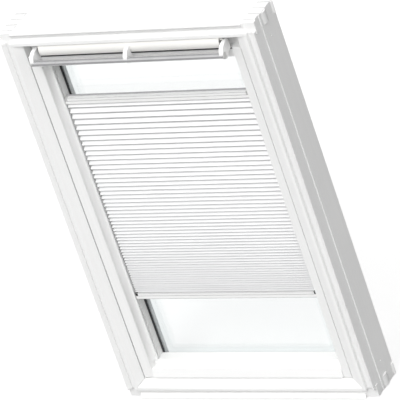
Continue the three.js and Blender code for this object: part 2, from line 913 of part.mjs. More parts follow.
function controlArm(middle, backDepth) {
  const half = armThickness / 2;
  const body = alongX(armOutline(), middle - half, middle + half);
  const behind = block(
    [middle - armThickness, middle + armThickness],
    [backDepth, armBackDepth + cutOver],
    [underHead(0), underHead(barInset + barRadius + armFootDrop + cutOver)],
  );
  const seat = alongX(barOutline(fitGap), middle - armThickness, middle + armThickness);
  return body.subtract(behind).subtract(seat);
}

// The bar's section: a round front with a flattened back.
function barOutline(grow) {
  const points = circle([barDepth, underHead(barInset)], barRadius + grow, barSides);
  return points.map(([depth, z]) => [Math.min(depth, barDepth + barFlat + grow), z]);
}

function controlBar() {
  return alongX(barOutline(0), -barHalfLength, barHalfLength);
}

function barCap(side) {
  const xs = [side * (barHalfLength + fitGap), side * (barHalfLength + fitGap + barCapLength)];
  xs.sort((a, b) => a - b);
  return alongX(barOutline(0), xs[0], xs[1]);
}

function ventSeal() {
  const half = halfWidth - sashArrisInset - fitGap;
  return block(
    [-half, half],
    [sashFrontDepth - fitGap - ventSealThickness, sashFrontDepth - fitGap],
    [underHead(ventSealTop), underHead(ventSealTop + ventSealHeight)],
  );
}

// Lock

function lockCase() {
  const outer = block([-lockHalfWidth, lockHalfWidth], [lockDepthFront, lockBackDepth], [
    underHead(lockTop),
    underHead(lockBottom),
  ]);
  const hollow = block(
    [-lockHalfWidth + lockWall, lockHalfWidth - lockWall],
    [lockDepthFront + lockWall, lockBackDepth - lockWall],
    [underHead(lockTop - cutOver), underHead(lockBottom - lockWall)],
  );
  return outer.subtract(hollow);
}

function lockLatch() {
  const z = underHead(latchPivotInset);
  const halfThick = latchThickness / 2;
  const outline = [
    [latchPivotDepth - halfThick, z - halfThick],
    [latchPivotDepth + halfThick, z - halfThick],
    [latchPivotDepth + halfThick, underHead(latchTip)],
    [latchPivotDepth - halfThick - latchNose, underHead(latchTip)],
    [latchPivotDepth - halfThick, underHead(latchTip + latchNose)],
  ];
  const reach = lockHalfWidth - lockWall - fitGap;
  const shaft = rodAlongX(latchPivotDepth, z, hingePinRadius, -reach, reach, hingeSides);
  return alongX(outline, -latchHalfWidth, latchHalfWidth).add(shaft);
}

function strikerPocket() {
  const reach = strikerThickness + fitGap;
  return block(
    [-strikerHalfWidth - fitGap, strikerHalfWidth + fitGap],
    [strikerDepthFront - fitGap, strikerDepthBack + fitGap],
    [underHead(timberThickness - reach), underHead(timberThickness + cutOver)],
  );
}

function strikerPlate() {
  const zs = [underHead(timberThickness - strikerThickness), underHead(timberThickness)];
  const plate = block([-strikerHalfWidth, strikerHalfWidth], [strikerDepthFront, strikerDepthBack], zs);
  const hook = block(
    [-latchHalfWidth - latchHoleGap, latchHalfWidth + latchHoleGap],
    [strikerDepthBack - strikerThickness, strikerDepthBack],
    [underHead(timberThickness), underHead(timberThickness + strikerThickness)],
  );
  return plate.add(hook);
}

// Blind

// A side rail: a hollow front edge against the stile and a slot for the shoes.
function sideRail(side) {
  const inner = lipInset;
  const outer = sashArrisInset + fitGap;
  const slotFront = railMidDepth - railSlot / 2;
  const slotBack = railMidDepth + railSlot / 2;
  const coveStart = outer + railCoveEdge;
  const coveEnd = inner - railNoseWidth;
  const cove = Array.from({ length: railCoveSteps + 1 }, (_, i) => {
    const turn = (Math.PI / 2) * (i / railCoveSteps);
    const inset = coveEnd - (coveEnd - coveStart) * Math.cos(turn);
    return [inset, railFrontDepth - railCoveRise * (1 - Math.sin(turn))];
  });
  const outline = [
    [outer, railFrontDepth - railCoveRise],
    ...cove,
    [inner, railFrontDepth],
    [inner, slotFront],
    [inner - railWall, slotFront],
    [inner - railWall, railFrontDepth + railWall],
    [outer + railWall, railFrontDepth + railWall],
    [outer + railWall, railBackDepth - railWall],
    [inner - railWall, railBackDepth - railWall],
    [inner - railWall, slotBack],
    [inner, slotBack],
    [inner, railBackDepth],
    [outer, railBackDepth],
  ].map(([inset, depth]) => [atSide(side, inset), depth]);
  return alongZ(outline, footLipInset + railEndGap, underHead(headLipInset + railEndGap));
}

const blindHalf = halfWidth - lipInset - blindBarSideGap;

// A blind bar: a groove along its front and a channel that holds the fabric's edge.
function blindBar(topZ, channelUp) {
  const low = topZ - blindBarHeight;
  const back = barFrontDepth + blindBarDepth;
  const grooveZ = topZ - barGrooveDrop;
  const slotMiddle = barFrontDepth + blindBarDepth / 2;
  const slotFrom = slotMiddle - fabricSlotWidth / 2;
  const slotTo = slotMiddle + fabricSlotWidth / 2;
  const slot = channelUp
    ? { at: topZ, floor: topZ - fabricSlotDepth }
    : { at: low, floor: low + fabricSlotDepth };
  const slotPoints = [
    [slotFrom, slot.at],
    [slotFrom, slot.floor],
    [slotTo, slot.floor],
    [slotTo, slot.at],
  ];
  const underside = channelUp ? [] : slotPoints;
  const topside = channelUp ? [...slotPoints].reverse() : [];
  const rearSlotFrom = barFrontDepth + rearSlotSetback;
  const rearSlotTo = rearSlotFrom + rearSlotWidth;
  const outline = [
    [barFrontDepth, low],
    ...underside,
    [back, low],
    [back, topZ],
    [rearSlotTo, topZ],
    [rearSlotTo, topZ - rearSlotDepth],
    [rearSlotFrom, topZ - rearSlotDepth],
    [rearSlotFrom, topZ],
    ...topside,
    [barFrontDepth, topZ],
    [barFrontDepth, grooveZ],
    [barFrontDepth + barGrooveDepth, grooveZ],
    [barFrontDepth + barGrooveDepth, grooveZ - barGrooveHeight],
    [barFrontDepth, grooveZ - barGrooveHeight],
  ];
  let body = alongX(outline, -blindHalf, blindHalf);
  for (const side of [-1, 1]) {
    const notchX = [side * (blindHalf - shoeNotchLength), side * (blindHalf + cutOver)];
    const depths = [barFrontDepth - cutOver, back + cutOver];
    body = body.subtract(block(notchX, depths, [topZ - shoeNotchHeight, topZ + cutOver]));
  }
  return body;
}

// A shoe: a head in the bar's end notch, a neck through the rail's slot, a slide in the rail.
function shoe(side, topZ) {
  const low = topZ - shoeNotchHeight + fitGap;
  const middle = (low + topZ) / 2;
  const headX = [side * (blindHalf - shoeNotchLength + fitGap), side * blindHalf];
  const head = block(headX, [shoeFrontDepth, barFrontDepth + blindBarDepth - fitGap], [low, topZ]);
  const railInside = lipInset - railWall;
  const railOutside = sashArrisInset + fitGap + railWall;
  const neckX = [side * (blindHalf - fitGap), atSide(side, railInside - shoeSlideGap)];
  const neckDepths = [railMidDepth - shoeNeckThickness / 2, railMidDepth + shoeNeckThickness / 2];
  const neck = block(neckX, neckDepths, [low, topZ]);
  const slideX = [atSide(side, railInside - shoeSlideGap), atSide(side, railOutside + shoeSlideGap)];
  const slideDepths = [
    railFrontDepth + railWall + shoeSlideGap,
    railBackDepth - railWall - shoeSlideGap,
  ];
  const half = shoeSlideLength / 2;
  return head.add(neck).add(block(slideX, slideDepths, [middle - half, middle + half]));
}

// Heights of the pleat valleys: each pleat is a little flatter than the one above it.
function pleatHeights(topZ, bottomZ) {
  const ratio = pleatPitchShare ** (1 / pleatCount);
  const whole = 1 - ratio ** pleatCount;
  return Array.from({ length: pleatCount + 1 }, (_, i) => {
    const share = (1 - ratio ** i) / whole;
    return topZ + (bottomZ - topZ) * share;
  });
}

function blindFabric(topZ, bottomZ) {
  const valleys = pleatHeights(topZ, bottomZ);
  const line = [];
  valleys.forEach((z, i) => {
    const next = valleys[i + 1];
    const pitch = next === undefined ? valleys[i - 1] - z : z - next;
    const reach = Math.sqrt(pleatFacet ** 2 - (pitch / 2) ** 2);
    line.push([fabricFrontDepth + reach, z]);
    if (next !== undefined) line.push([fabricFrontDepth, z - pitch / 2]);
  });
  const back = line.map(([depth, z]) => [depth + fabricThickness, z]).reverse();
  const half = halfWidth - lipInset - fabricSideGap;
  return alongX([...line, ...back], -half, half);
}

// Assembly

for (const [side, word] of [[-1, "left"], [1, "right"]]) {
  add(`frame_jamb_${word}`, jamb(side), "timber");
  add(`frame_pivot_${word}`, framePivot(side), "steel");
  add(`sash_stile_${word}`, sashStile(side), "timber");
  add(`sash_pivot_${word}`, sashPivot(side), "steel");
  add(`glazing_cover_${word}`, cover(word), "cover");
  add(`flap_hinge_${word}`, flapHinge(side), "steel");
  add(`flap_hinge_pin_${word}`, hingePin(side), "steel");
  add(`bar_arm_${word}`, controlArm(side * armOffset, armBackDepth), "arm");
  add(`bar_cap_${word}`, barCap(side), "plastic");
  add(`blind_rail_${word}`, sideRail(side), "rail");
  add(`blind_top_shoe_${word}`, shoe(side, underHead(topBarInset)), "plastic");
  add(`blind_bottom_shoe_${word}`, shoe(side, underHead(bottomBarInset)), "darkPlastic");
}
add("frame_head", crossMember("head"), "timber");
add("frame_foot", crossMember("foot"), "timber");
add("frame_seal", frameSeal(), "rubber");
add("striker_plate", strikerPlate(), "steel");
add("sash_head", sashHead(), "timber");
add("sash_foot", sashFoot(), "timber");
add("glazing_gasket", glazingGasket(), "rubber");
add("pane_inner", pane(paneFrontDepth), "glass");
add("glass_spacer", glassSpacer(), "spacer");
add("pane_outer", pane(rearPaneDepth), "glass");
add("glazing_cover_head", cover("head"), "cover");
add("glazing_cover_foot", cover("foot"), "cover");
add("vent_seal", ventSeal(), "rubber");
add("vent_flap", ventFlap(), "flap");
add("bar_arm_middle", controlArm(0, flapForemost - fitGap), "arm");
add("control_bar", controlBar(), "aluminium");
add("lock_case", lockCase(), "plastic");
add("lock_latch", lockLatch(), "steel");
add("blind_top_bar", blindBar(underHead(topBarInset), false), "rail");
add("blind_bottom_bar", blindBar(underHead(bottomBarInset), true), "rail");
add(
  "blind_fabric",
  blindFabric(underHead(topBarInset) - blindBarHeight - fitGap, underHead(bottomBarInset) + fitGap),
  "fabric",
);

placed.position.set(0, -(frameDepth + barDepth - barRadius) / 2, jambFingerProud);

export default group;
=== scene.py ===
import json
import math

import bmesh
import bpy
from mathutils import Matrix, Vector


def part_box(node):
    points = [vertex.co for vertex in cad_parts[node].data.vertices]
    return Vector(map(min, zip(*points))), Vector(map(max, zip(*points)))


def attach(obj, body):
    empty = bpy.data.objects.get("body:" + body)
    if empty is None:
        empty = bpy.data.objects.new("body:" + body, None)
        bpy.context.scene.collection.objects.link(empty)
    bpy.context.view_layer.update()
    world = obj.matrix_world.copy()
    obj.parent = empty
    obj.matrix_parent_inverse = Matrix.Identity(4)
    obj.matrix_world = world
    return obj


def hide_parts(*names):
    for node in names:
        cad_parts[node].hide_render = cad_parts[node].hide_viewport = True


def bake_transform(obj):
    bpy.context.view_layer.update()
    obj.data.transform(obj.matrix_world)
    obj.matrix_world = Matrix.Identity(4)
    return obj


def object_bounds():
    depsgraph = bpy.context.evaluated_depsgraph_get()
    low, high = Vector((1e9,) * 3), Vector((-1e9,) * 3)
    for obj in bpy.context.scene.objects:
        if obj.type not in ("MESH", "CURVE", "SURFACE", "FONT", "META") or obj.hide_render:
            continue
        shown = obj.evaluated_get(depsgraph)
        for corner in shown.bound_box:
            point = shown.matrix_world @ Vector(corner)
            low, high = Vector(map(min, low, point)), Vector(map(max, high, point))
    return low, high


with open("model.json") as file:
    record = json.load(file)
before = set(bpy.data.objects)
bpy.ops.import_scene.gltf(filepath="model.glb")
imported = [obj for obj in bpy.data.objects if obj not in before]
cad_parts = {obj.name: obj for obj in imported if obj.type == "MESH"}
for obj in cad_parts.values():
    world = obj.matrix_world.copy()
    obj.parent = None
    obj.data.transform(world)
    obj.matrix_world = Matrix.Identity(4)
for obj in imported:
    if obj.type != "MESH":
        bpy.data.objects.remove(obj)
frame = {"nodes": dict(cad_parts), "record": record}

cad_low, cad_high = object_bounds()

MM = 0.001
scene = bpy.context.scene
scene.view_settings.view_transform = "Standard"

# Camera, fitted to the corners of the frame in the photograph

CAMERA_PLACE = Vector((6.0632, -8.6134, 6.1199))
CAMERA_BACK = Vector((0.508805, -0.725494, 0.463439))
CAMERA_UP = Vector((0.019883, 0.548090, 0.836183))
CAMERA_LENS = 400.35
CAMERA_SENSOR = 36
CAMERA_NEAR = 0.1
CAMERA_FAR = 100


def make_camera():
    data = bpy.data.cameras.new("camera")
    data.sensor_fit = "HORIZONTAL"
    data.sensor_width = CAMERA_SENSOR
    data.lens = CAMERA_LENS
    data.clip_start = CAMERA_NEAR
    data.clip_end = CAMERA_FAR
    camera = bpy.data.objects.new("camera", data)
    scene.collection.objects.link(camera)
    back = CAMERA_BACK.normalized()
    right = CAMERA_UP.cross(back).normalized()
    up = back.cross(right)
    turn = Matrix((right, up, back)).transposed().to_4x4()
    camera.matrix_world = Matrix.Translation(CAMERA_PLACE) @ turn
    scene.camera = camera


make_camera()

# Helpers for shader nodes


class Graph:
    """A node tree with short ways to add nodes and join them."""

    def __init__(self, tree):
        self.tree = tree

    def link(self, a, b):
        self.tree.links.new(a, b)

    def node(self, kind, **settings):
        made = self.tree.nodes.new(kind)
        for key, value in settings.items():
            setattr(made, key, value)
        return made

    def math(self, kind, a, b=None):
        made = self.node("ShaderNodeMath", operation=kind)
        for socket, value in zip(made.inputs, (a, b)):
            if isinstance(value, (int, float)):
                socket.default_value = value
            elif value is not None:
                self.link(value, socket)
        return made.outputs["Value"]

    def span(self, value, low, high, to_low=0.0, to_high=1.0):
        """The value's range from low to high, spread over another range and held at its ends."""
        made = self.node("ShaderNodeMapRange", clamp=True)
        self.link(value, made.inputs[0])
        for index, number in enumerate((low, high, to_low, to_high), 1):
            made.inputs[index].default_value = number
        return made.outputs[0]

    def split(self, vector):
        made = self.node("ShaderNodeSeparateXYZ")
        self.link(vector, made.inputs["Vector"])
        return made.outputs

    def mix_shaders(self, factor, a, b):
        made = self.node("ShaderNodeMixShader")
        self.link(factor, made.inputs["Fac"])
        self.link(a, made.inputs[1])
        self.link(b, made.inputs[2])
        return made.outputs["Shader"]


class Surface(Graph):
    """A material with one Principled shader. The scales of its textures are per metre."""

    def __init__(self, name, color, roughness, **sockets):
        self.material = bpy.data.materials.new(name)
        self.material.use_nodes = True
        super().__init__(self.material.node_tree)
        self.shader = self.tree.nodes["Principled BSDF"]
        self.output = self.tree.nodes["Material Output"]
        self.shader.inputs["Base Color"].default_value = (*color, 1)
        self.shader.inputs["Roughness"].default_value = roughness
        for socket, value in sockets.items():
            self.shader.inputs[socket.replace("_", " ")].default_value = value
        self.place = self.node("ShaderNodeTexCoord").outputs["Object"]

    def scaled(self, scale):
        mapping = self.node("ShaderNodeMapping")
        mapping.inputs["Scale"].default_value = scale if isinstance(scale, tuple) else (scale,) * 3
        self.link(self.place, mapping.inputs["Vector"])
        return mapping.outputs["Vector"]

    def noise(self, scale, detail=2, rough=0.5):
        made = self.node("ShaderNodeTexNoise")
        made.inputs["Scale"].default_value = 1
        made.inputs["Detail"].default_value = detail
        made.inputs["Roughness"].default_value = rough
        self.link(self.scaled(scale), made.inputs["Vector"])
        return made.outputs["Fac"]

    def sum_of(self, *parts):
        """The sum of some outputs, each times its share."""
        total = None
        for output, share in parts:
            part = self.math("MULTIPLY", output, share)
            total = part if total is None else self.math("ADD", total, part)
        return total

    def attribute(self, name):
        return self.node("ShaderNodeAttribute", attribute_name=name).outputs["Fac"]

    def mix(self, factor, a, b):
        made = self.node("ShaderNodeMix", data_type="RGBA")
        self.link(factor, made.inputs["Factor"])
        for socket, value in ((made.inputs[6], a), (made.inputs[7], b)):
            if isinstance(value, tuple):
                socket.default_value = (*value, 1)
            else:
                self.link(value, socket)
        return made.outputs[2]

    def color(self, factor, a, b):
        """The base colour is a where the factor is 0 and b where it is 1."""
        self.link(self.mix(factor, a, b), self.shader.inputs["Base Color"])

    def color_over(self, value, at_low, at_high, low=0.3, high=0.7):
        """The base colour goes from one colour to another while the value goes from low to high."""
        self.color(self.span(value, low, high), at_low, at_high)

    def roughness_over(self, value, at_low, at_high, low=0.3, high=0.7):
        self.link(self.span(value, low, high, at_low, at_high), self.shader.inputs["Roughness"])

    def bump(self, height, distance, strength):
        made = self.node("ShaderNodeBump")
        made.inputs["Distance"].default_value = distance
        made.inputs["Strength"].default_value = strength
        self.link(height, made.inputs["Height"])
        self.link(made.outputs["Normal"], self.shader.inputs["Normal"])


def along(axis, fine, long):
    """Scales for a texture drawn out along one axis: fine across it, long along it."""
    return tuple(long if i == "xyz".index(axis) else fine for i in range(3))


def darker(color, share):
    return tuple(channel * share for channel in color)


# Materials


def painted_timber(name, axis, color):
    m = Surface(name, color, 0.4, Coat_Weight=0.15, Coat_Roughness=0.3)
    grain = m.noise(along(axis, fine=900, long=14), detail=4, rough=0.6)
    streaks = m.noise(along(axis, fine=160, long=3), detail=3)
    tone = m.sum_of((streaks, 0.5), (m.noise(5), 0.5))
    m.color_over(tone, darker(color, 0.965), color, low=0.35, high=0.65)
    m.roughness_over(grain, 0.34, 0.46)
    m.bump(m.sum_of((grain, 1), (streaks, 0.6)), distance=0.05 * MM, strength=0.5)
    return m.material


def lacquered(name, color, roughness):
    m = Surface(name, color, roughness, Coat_Weight=0.25, Coat_Roughness=0.15)
    peel = m.noise(420, rough=0.4)
    m.color_over(m.noise(9), darker(color, 0.97), color)
    m.roughness_over(peel, roughness - 0.04, roughness + 0.05)
    m.bump(peel, distance=0.03 * MM, strength=0.35)
    return m.material


def moulded_plastic(name, color, roughness=0.5):
    m = Surface(name, color, roughness)
    pits = m.noise(2600, rough=0.6)
    m.color_over(m.noise(30), darker(color, 0.93), color)
    m.roughness_over(pits, roughness - 0.06, roughness + 0.08)
    m.bump(pits, distance=0.04 * MM, strength=0.5)
    return m.material


def brushed_metal(name, color, axis, roughness, metallic=1.0):
    m = Surface(name, color, roughness, Metallic=metallic)
    lines = m.noise(along(axis, fine=2400, long=12), detail=3, rough=0.6)
    m.color_over(m.noise(18, detail=3), darker(color, 0.9), color)
    m.roughness_over(lines, roughness - 0.07, roughness + 0.08)
    m.bump(lines, distance=0.02 * MM, strength=0.4)
    return m.material


def zinc_steel(name):
    m = Surface(name, (0.6, 0.61, 0.62), 0.36, Metallic=1.0)
    spangle = m.node("ShaderNodeTexVoronoi", feature="F1")
    spangle.inputs["Scale"].default_value = 1
    m.link(m.scaled(240), spangle.inputs["Vector"])
    m.color_over(spangle.outputs["Color"], (0.5, 0.51, 0.52), (0.66, 0.67, 0.68), low=0.1, high=0.9)
    m.roughness_over(m.noise(90, detail=3, rough=0.6), 0.28, 0.48)
    m.bump(m.noise(900), distance=0.02 * MM, strength=0.4)
    return m.material


def rubber(name):
    m = Surface(name, (0.05, 0.051, 0.053), 0.62)
    grain = m.noise(3000, rough=0.6)
    dust = m.noise(60, detail=4, rough=0.6)
    m.color_over(dust, (0.04, 0.041, 0.043), (0.08, 0.081, 0.083), low=0.45, high=0.75)
    m.roughness_over(grain, 0.52, 0.74)
    m.bump(grain, distance=0.04 * MM, strength=0.5)
    return m.material


def spacer_metal(name):
    m = Surface(name, (0.66, 0.67, 0.68), 0.42, Metallic=0.25)
    m.roughness_over(m.noise(300), 0.36, 0.5)
    m.bump(m.noise(700), distance=0.02 * MM, strength=0.4)
    return m.material


def brush_pile(name):
    m = Surface(name, (0.4, 0.4, 0.41), 0.9, Sheen_Weight=0.2)
    fibres = m.noise(along("z", fine=3000, long=120), detail=3, rough=0.6)
    m.color_over(fibres, (0.3, 0.3, 0.31), (0.46, 0.46, 0.47))
    m.bump(fibres, distance=0.15 * MM, strength=0.7)
    return m.material


# The glass is painted greyer along its edges, a painted shade of the sash on it

SHADE_SIDE_WIDTH = 54 * MM
SHADE_END_WIDTH = 42 * MM
SHADE_BLUR = 2 * MM
GLASS = (0.985, 0.992, 0.992)
GLASS_PAINTED_SHADE = (0.95, 0.967, 0.967)
GLASS_SHADOW = (0.97, 0.985, 0.98, 1)


def clear_glass(name):
    m = Surface(name, (0.985, 0.995, 0.99), 0.0, IOR=1.5, Transmission_Weight=1.0)
    m.roughness_over(m.noise(6, detail=3), 0.0, 0.02, low=0.35, high=0.75)
    place = m.split(m.place)
    low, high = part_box("pane_inner")
    side = high.x - SHADE_SIDE_WIDTH
    at_side = m.span(m.math("ABSOLUTE", place["X"]), side - SHADE_BLUR, side)
    centre = (low.z + high.z) / 2
    end = high.z - centre - SHADE_END_WIDTH
    from_centre = m.math("ABSOLUTE", m.math("SUBTRACT", place["Z"], centre))
    at_end = m.span(from_centre, end - SHADE_BLUR, end)
    # Greyer near the pane's sides and ends: painted shade of the sash
    m.color(m.math("MAXIMUM", at_side, at_end), GLASS, GLASS_PAINTED_SHADE)
    clear = m.node("ShaderNodeBsdfTransparent")
    clear.inputs["Color"].default_value = GLASS_SHADOW
    shadow_ray = m.node("ShaderNodeLightPath").outputs["Is Shadow Ray"]
    both = m.mix_shaders(shadow_ray, m.shader.outputs["BSDF"], clear.outputs["BSDF"])
    m.link(both, m.output.inputs["Surface"])
    return m.material


CLOTH_MEAN = (0.83, 0.834, 0.84)
CLOTH_DIM = (0.885, 0.887, 0.89)
CLOTH_PLAIN = (0.92, 0.921, 0.922)
# Painted shade: the facets that face down and the folds of the cloth are darker
CLOTH_PAINTED_UNDERSIDE_SHADE = (0.67, 0.673, 0.68)
CLOTH_PAINTED_CREASE_SHADE = (0.64, 0.642, 0.648)


def pleated_cloth(name):
    """Cloth with painted shade on its folds and on the facets that face down, by the marks on it."""
    m = Surface(name, CLOTH_MEAN, 0.85, Sheen_Weight=0.1, Sheen_Roughness=0.5)
    slubs = m.noise(along("x", fine=700, long=14), detail=3, rough=0.6)
    patches = m.noise(along("x", fine=30, long=8))
    tone = m.span(m.sum_of((slubs, 0.5), (patches, 0.5)), 0.3, 0.7)
    plain = m.mix(tone, CLOTH_DIM, CLOTH_PLAIN)
    # Painted shade on the facets that face down, and on the next line on the folds
    plain = m.mix(m.span(m.attribute("painted_underside_shade"), 0.02, 0.2), plain, CLOTH_PAINTED_UNDERSIDE_SHADE)
    m.color_over(m.attribute("painted_crease_shade"), plain, CLOTH_PAINTED_CREASE_SHADE, low=0.88, high=0.98)
    m.bump(m.math("MULTIPLY", slubs, 0.5), distance=0.12 * MM, strength=0.5)
    return m.material


WHITE = (0.92, 0.92, 0.915)

looks = {
    "timber_x": painted_timber("white_timber_across", "x", WHITE),
    "timber_z": painted_timber("white_timber_upright", "z", WHITE),
    "flap": lacquered("warm_white_lacquer", (0.88, 0.872, 0.845), 0.4),
    "arm": lacquered("white_lacquer", (0.9, 0.9, 0.895), 0.32),
    "rail": lacquered("rail_lacquer", (0.91, 0.91, 0.905), 0.36),
    "bar": brushed_metal("satin_aluminium", (0.8, 0.8, 0.81), "x", 0.22),
    "steel": zinc_steel("zinc_plated_steel"),
    "rubber": rubber("black_rubber"),
    "spacer": spacer_metal("spacer_metal"),
    "glass": clear_glass("clear_glass"),
    "cover": brushed_metal("cover_aluminium", (0.12, 0.13, 0.14), "z", 0.5, metallic=0.3),
    "grey": moulded_plastic("grey_plastic", (0.62, 0.62, 0.61)),
    "black": moulded_plastic("black_plastic", (0.03, 0.03, 0.032)),
    "cloth": pleated_cloth("pleated_cloth"),
    # Glue lines and painted shadow in the gaps of the finger joints
    "joint": moulded_plastic("glue_line_and_painted_shadow", (0.1, 0.098, 0.095)),
    # Painted shadow lines in the grooves and along the edges of the blind's bars
    "groove": moulded_plastic("groove_shadow_gap", (0.42, 0.42, 0.425)),
    "brush": brush_pile("brush_pile"),
}

# The look of each node, by the start of its name

node_looks = {
    "frame_head": "timber_x",
    "frame_foot": "timber_x",
    "sash_head": "timber_x",
    "sash_foot": "timber_x",
    "frame_jamb": "timber_z",
    "sash_stile": "timber_z",
    "frame_seal": "rubber",
    "glazing_gasket": "rubber",
    "vent_seal": "rubber",
    "glass_spacer": "spacer",
    "pane": "glass",
    "glazing_cover": "cover",
    "frame_pivot": "steel",
    "sash_pivot": "steel",
    "striker_plate": "steel",
    "flap_hinge": "steel",
    "lock_latch": "steel",
    "lock_case": "grey",
    "vent_flap": "flap",
    "bar_arm": "arm",
    "control_bar": "bar",
    "bar_cap": "grey",
    "blind_rail": "rail",
    "blind_top_bar": "rail",
    "blind_bottom_bar": "rail",
    "blind_top_shoe": "grey",
    "blind_bottom_shoe": "black",
}

# The rounding of a node's edges in millimetres, by the start of its name

edge_rounding = {
    "frame_jamb": 0.5,
    "frame_head": 0.5,
    "frame_foot": 0.5,
    "sash_stile": 0.6,
    "sash_head": 0.6,
    "sash_foot": 0.6,
    "vent_flap": 0.5,
    "bar_arm": 0.8,
    "bar_cap": 0.8,
    "blind_rail": 0.3,
    "blind_top_bar": 0.4,
    "blind_bottom_bar": 0.4,
    "blind_top_shoe": 0.6,
    "blind_bottom_shoe": 0.6,
    "lock_case": 0.6,
    "frame_pivot": 0.3,
    "sash_pivot": 0.3,
    "glazing_cover": 0.4,
    "striker_plate": 0.3,
    "flap_hinge_left": 0.3,
    "flap_hinge_right": 0.3,
}


def by_start(table, name):
    """The value of the longest key that the name starts with, or None."""
    start = max((key for key in table if name.startswith(key)), key=len, default=None)
    return table.get(start)


def look_of(node):
    return looks[by_start(node_looks, node)]


# Helpers for pieces


def mesh_of(name, made):
    mesh = bpy.data.meshes.new(name)
    made.to_mesh(mesh)
    made.free()
    return mesh


def new_piece(name, mesh, material):
    piece = bpy.data.objects.new(name, mesh)
    scene.collection.objects.link(piece)
    mesh.materials.clear()
    mesh.materials.append(material)
    return piece


def shade(mesh, sharp_from):
    mesh.shade_smooth()
    mesh.set_sharp_from_angle(angle=math.radians(sharp_from))


# Rounded copies of the plain solids, with angles in degrees

MERGE_DISTANCE = 0.002 * MM
FLAT_WITHIN = 0.3
BEVEL_FROM = 28
BEVEL_STEPS = 2
SHARP_FROM = 50

OUTER_FACE = 390 * MM
FRAME_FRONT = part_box("frame_jamb_right")[0].y
FRAME_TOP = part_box("frame_head")[1].z
FRAME_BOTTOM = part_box("frame_foot")[0].z
FIRST_FINGER_BACK = 27 * MM
FINGER_PROUD_SHARE = 0.75
PROUD_FROM = 0.01 * MM


def settle_fingers(made):
    """The front finger lies flush with the jamb and the next ones stand out a little less."""
    for vertex in made.verts:
        x, y, _ = vertex.co
        proud = abs(x) - OUTER_FACE
        if proud > PROUD_FROM:
            kept = 0 if y - FRAME_FRONT < FIRST_FINGER_BACK else proud * FINGER_PROUD_SHARE
            vertex.co.x = math.copysign(OUTER_FACE + kept, x)


def merged_copy(node):
    """The node's mesh with its doubled points merged and its flat faces whole."""
    made = bmesh.new()
    made.from_mesh(bpy.data.objects[node].data)
    bmesh.ops.remove_doubles(made, verts=made.verts, dist=MERGE_DISTANCE)
    if node in ("frame_head", "frame_foot"):
        settle_fingers(made)
    bmesh.ops.dissolve_limit(
        made,
        angle_limit=math.radians(FLAT_WITHIN),
        verts=made.verts,
        edges=made.edges,
        delimit=set(),
    )
    return mesh_of(node + "_shape", made)


SCREW_DROPS = (77 * MM, 1101 * MM)
SCREW_DEPTH = 72 * MM
RECESS_RADIUS = 3.2 * MM
RECESS_FLOOR_RADIUS = 1.6 * MM
RECESS_DEPTH = 2 * MM
RECESS_SIDES = 20


def screw_recess(side, drop):
    """A cone, half of it in the outer side of a jamb, that cuts the recess of a filled screw hole."""
    made = bmesh.new()
    bmesh.ops.create_cone(
        made,
        cap_ends=True,
        segments=RECESS_SIDES,
        radius1=RECESS_FLOOR_RADIUS,
        radius2=RECESS_RADIUS + (RECESS_RADIUS - RECESS_FLOOR_RADIUS),
        depth=2 * RECESS_DEPTH,
    )
    turn = Matrix.Rotation(math.radians(90) * side, 4, "Y")
    place = Matrix.Translation((side * OUTER_FACE, FRAME_FRONT + SCREW_DEPTH, FRAME_TOP - drop))
    bmesh.ops.transform(made, matrix=place @ turn, verts=made.verts)
    cutter = bpy.data.objects.new("recess", mesh_of("recess", made))
    scene.collection.objects.link(cutter)
    return cutter


def recesses_in(node):
    sides = {"frame_jamb_left": -1, "frame_jamb_right": 1}
    return [screw_recess(sides[node], drop) for drop in SCREW_DROPS] if node in sides else []


def rounded(node, width):
    """A copy of the node with rounded edges, which stands for it."""
    mesh = merged_copy(node)
    piece = new_piece(node + "_shape", mesh, look_of(node))
    cutters = recesses_in(node)
    for cutter in cutters:
        cut = piece.modifiers.new("recess", "BOOLEAN")
        cut.operation = "DIFFERENCE"
        cut.object = cutter
    bevel = piece.modifiers.new("round", "BEVEL")
    bevel.width = width * MM
    bevel.segments = BEVEL_STEPS
    bevel.limit_method = "ANGLE"
    bevel.angle_limit = math.radians(BEVEL_FROM)
    bevel.use_clamp_overlap = True
    bevel.miter_outer = "MITER_ARC"
    normals = piece.modifiers.new("normals", "WEIGHTED_NORMAL")
    normals.keep_sharp = True
    shade(mesh, SHARP_FROM)
    bpy.context.view_layer.update()
    depsgraph = bpy.context.evaluated_depsgraph_get()
    final = bpy.data.meshes.new_from_object(piece.evaluated_get(depsgraph))
    piece.modifiers.clear()
    piece.data = final
    for cutter in cutters:
        bpy.data.objects.remove(cutter)
    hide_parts(node)
    return piece


def body_of_node(node):
    for body, nodes in frame["record"]["behaviour"]["bodies"].items():
        if node in nodes:
            return body
    raise KeyError(node)


def dress_nodes():
    for node in frame["nodes"]:
        if node == "blind_fabric":
            continue
        width = by_start(edge_rounding, node)
        if width is not None:
            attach(rounded(node, width), body_of_node(node))
            continue
        solid = bpy.data.objects[node]
        solid.data.materials.clear()
        solid.data.materials.append(look_of(node))


dress_nodes()

# Jamb ends in front of the corner blocks, and dark lines between the fingers, which are glue lines and
# painted shadow of the gaps, in millimetres

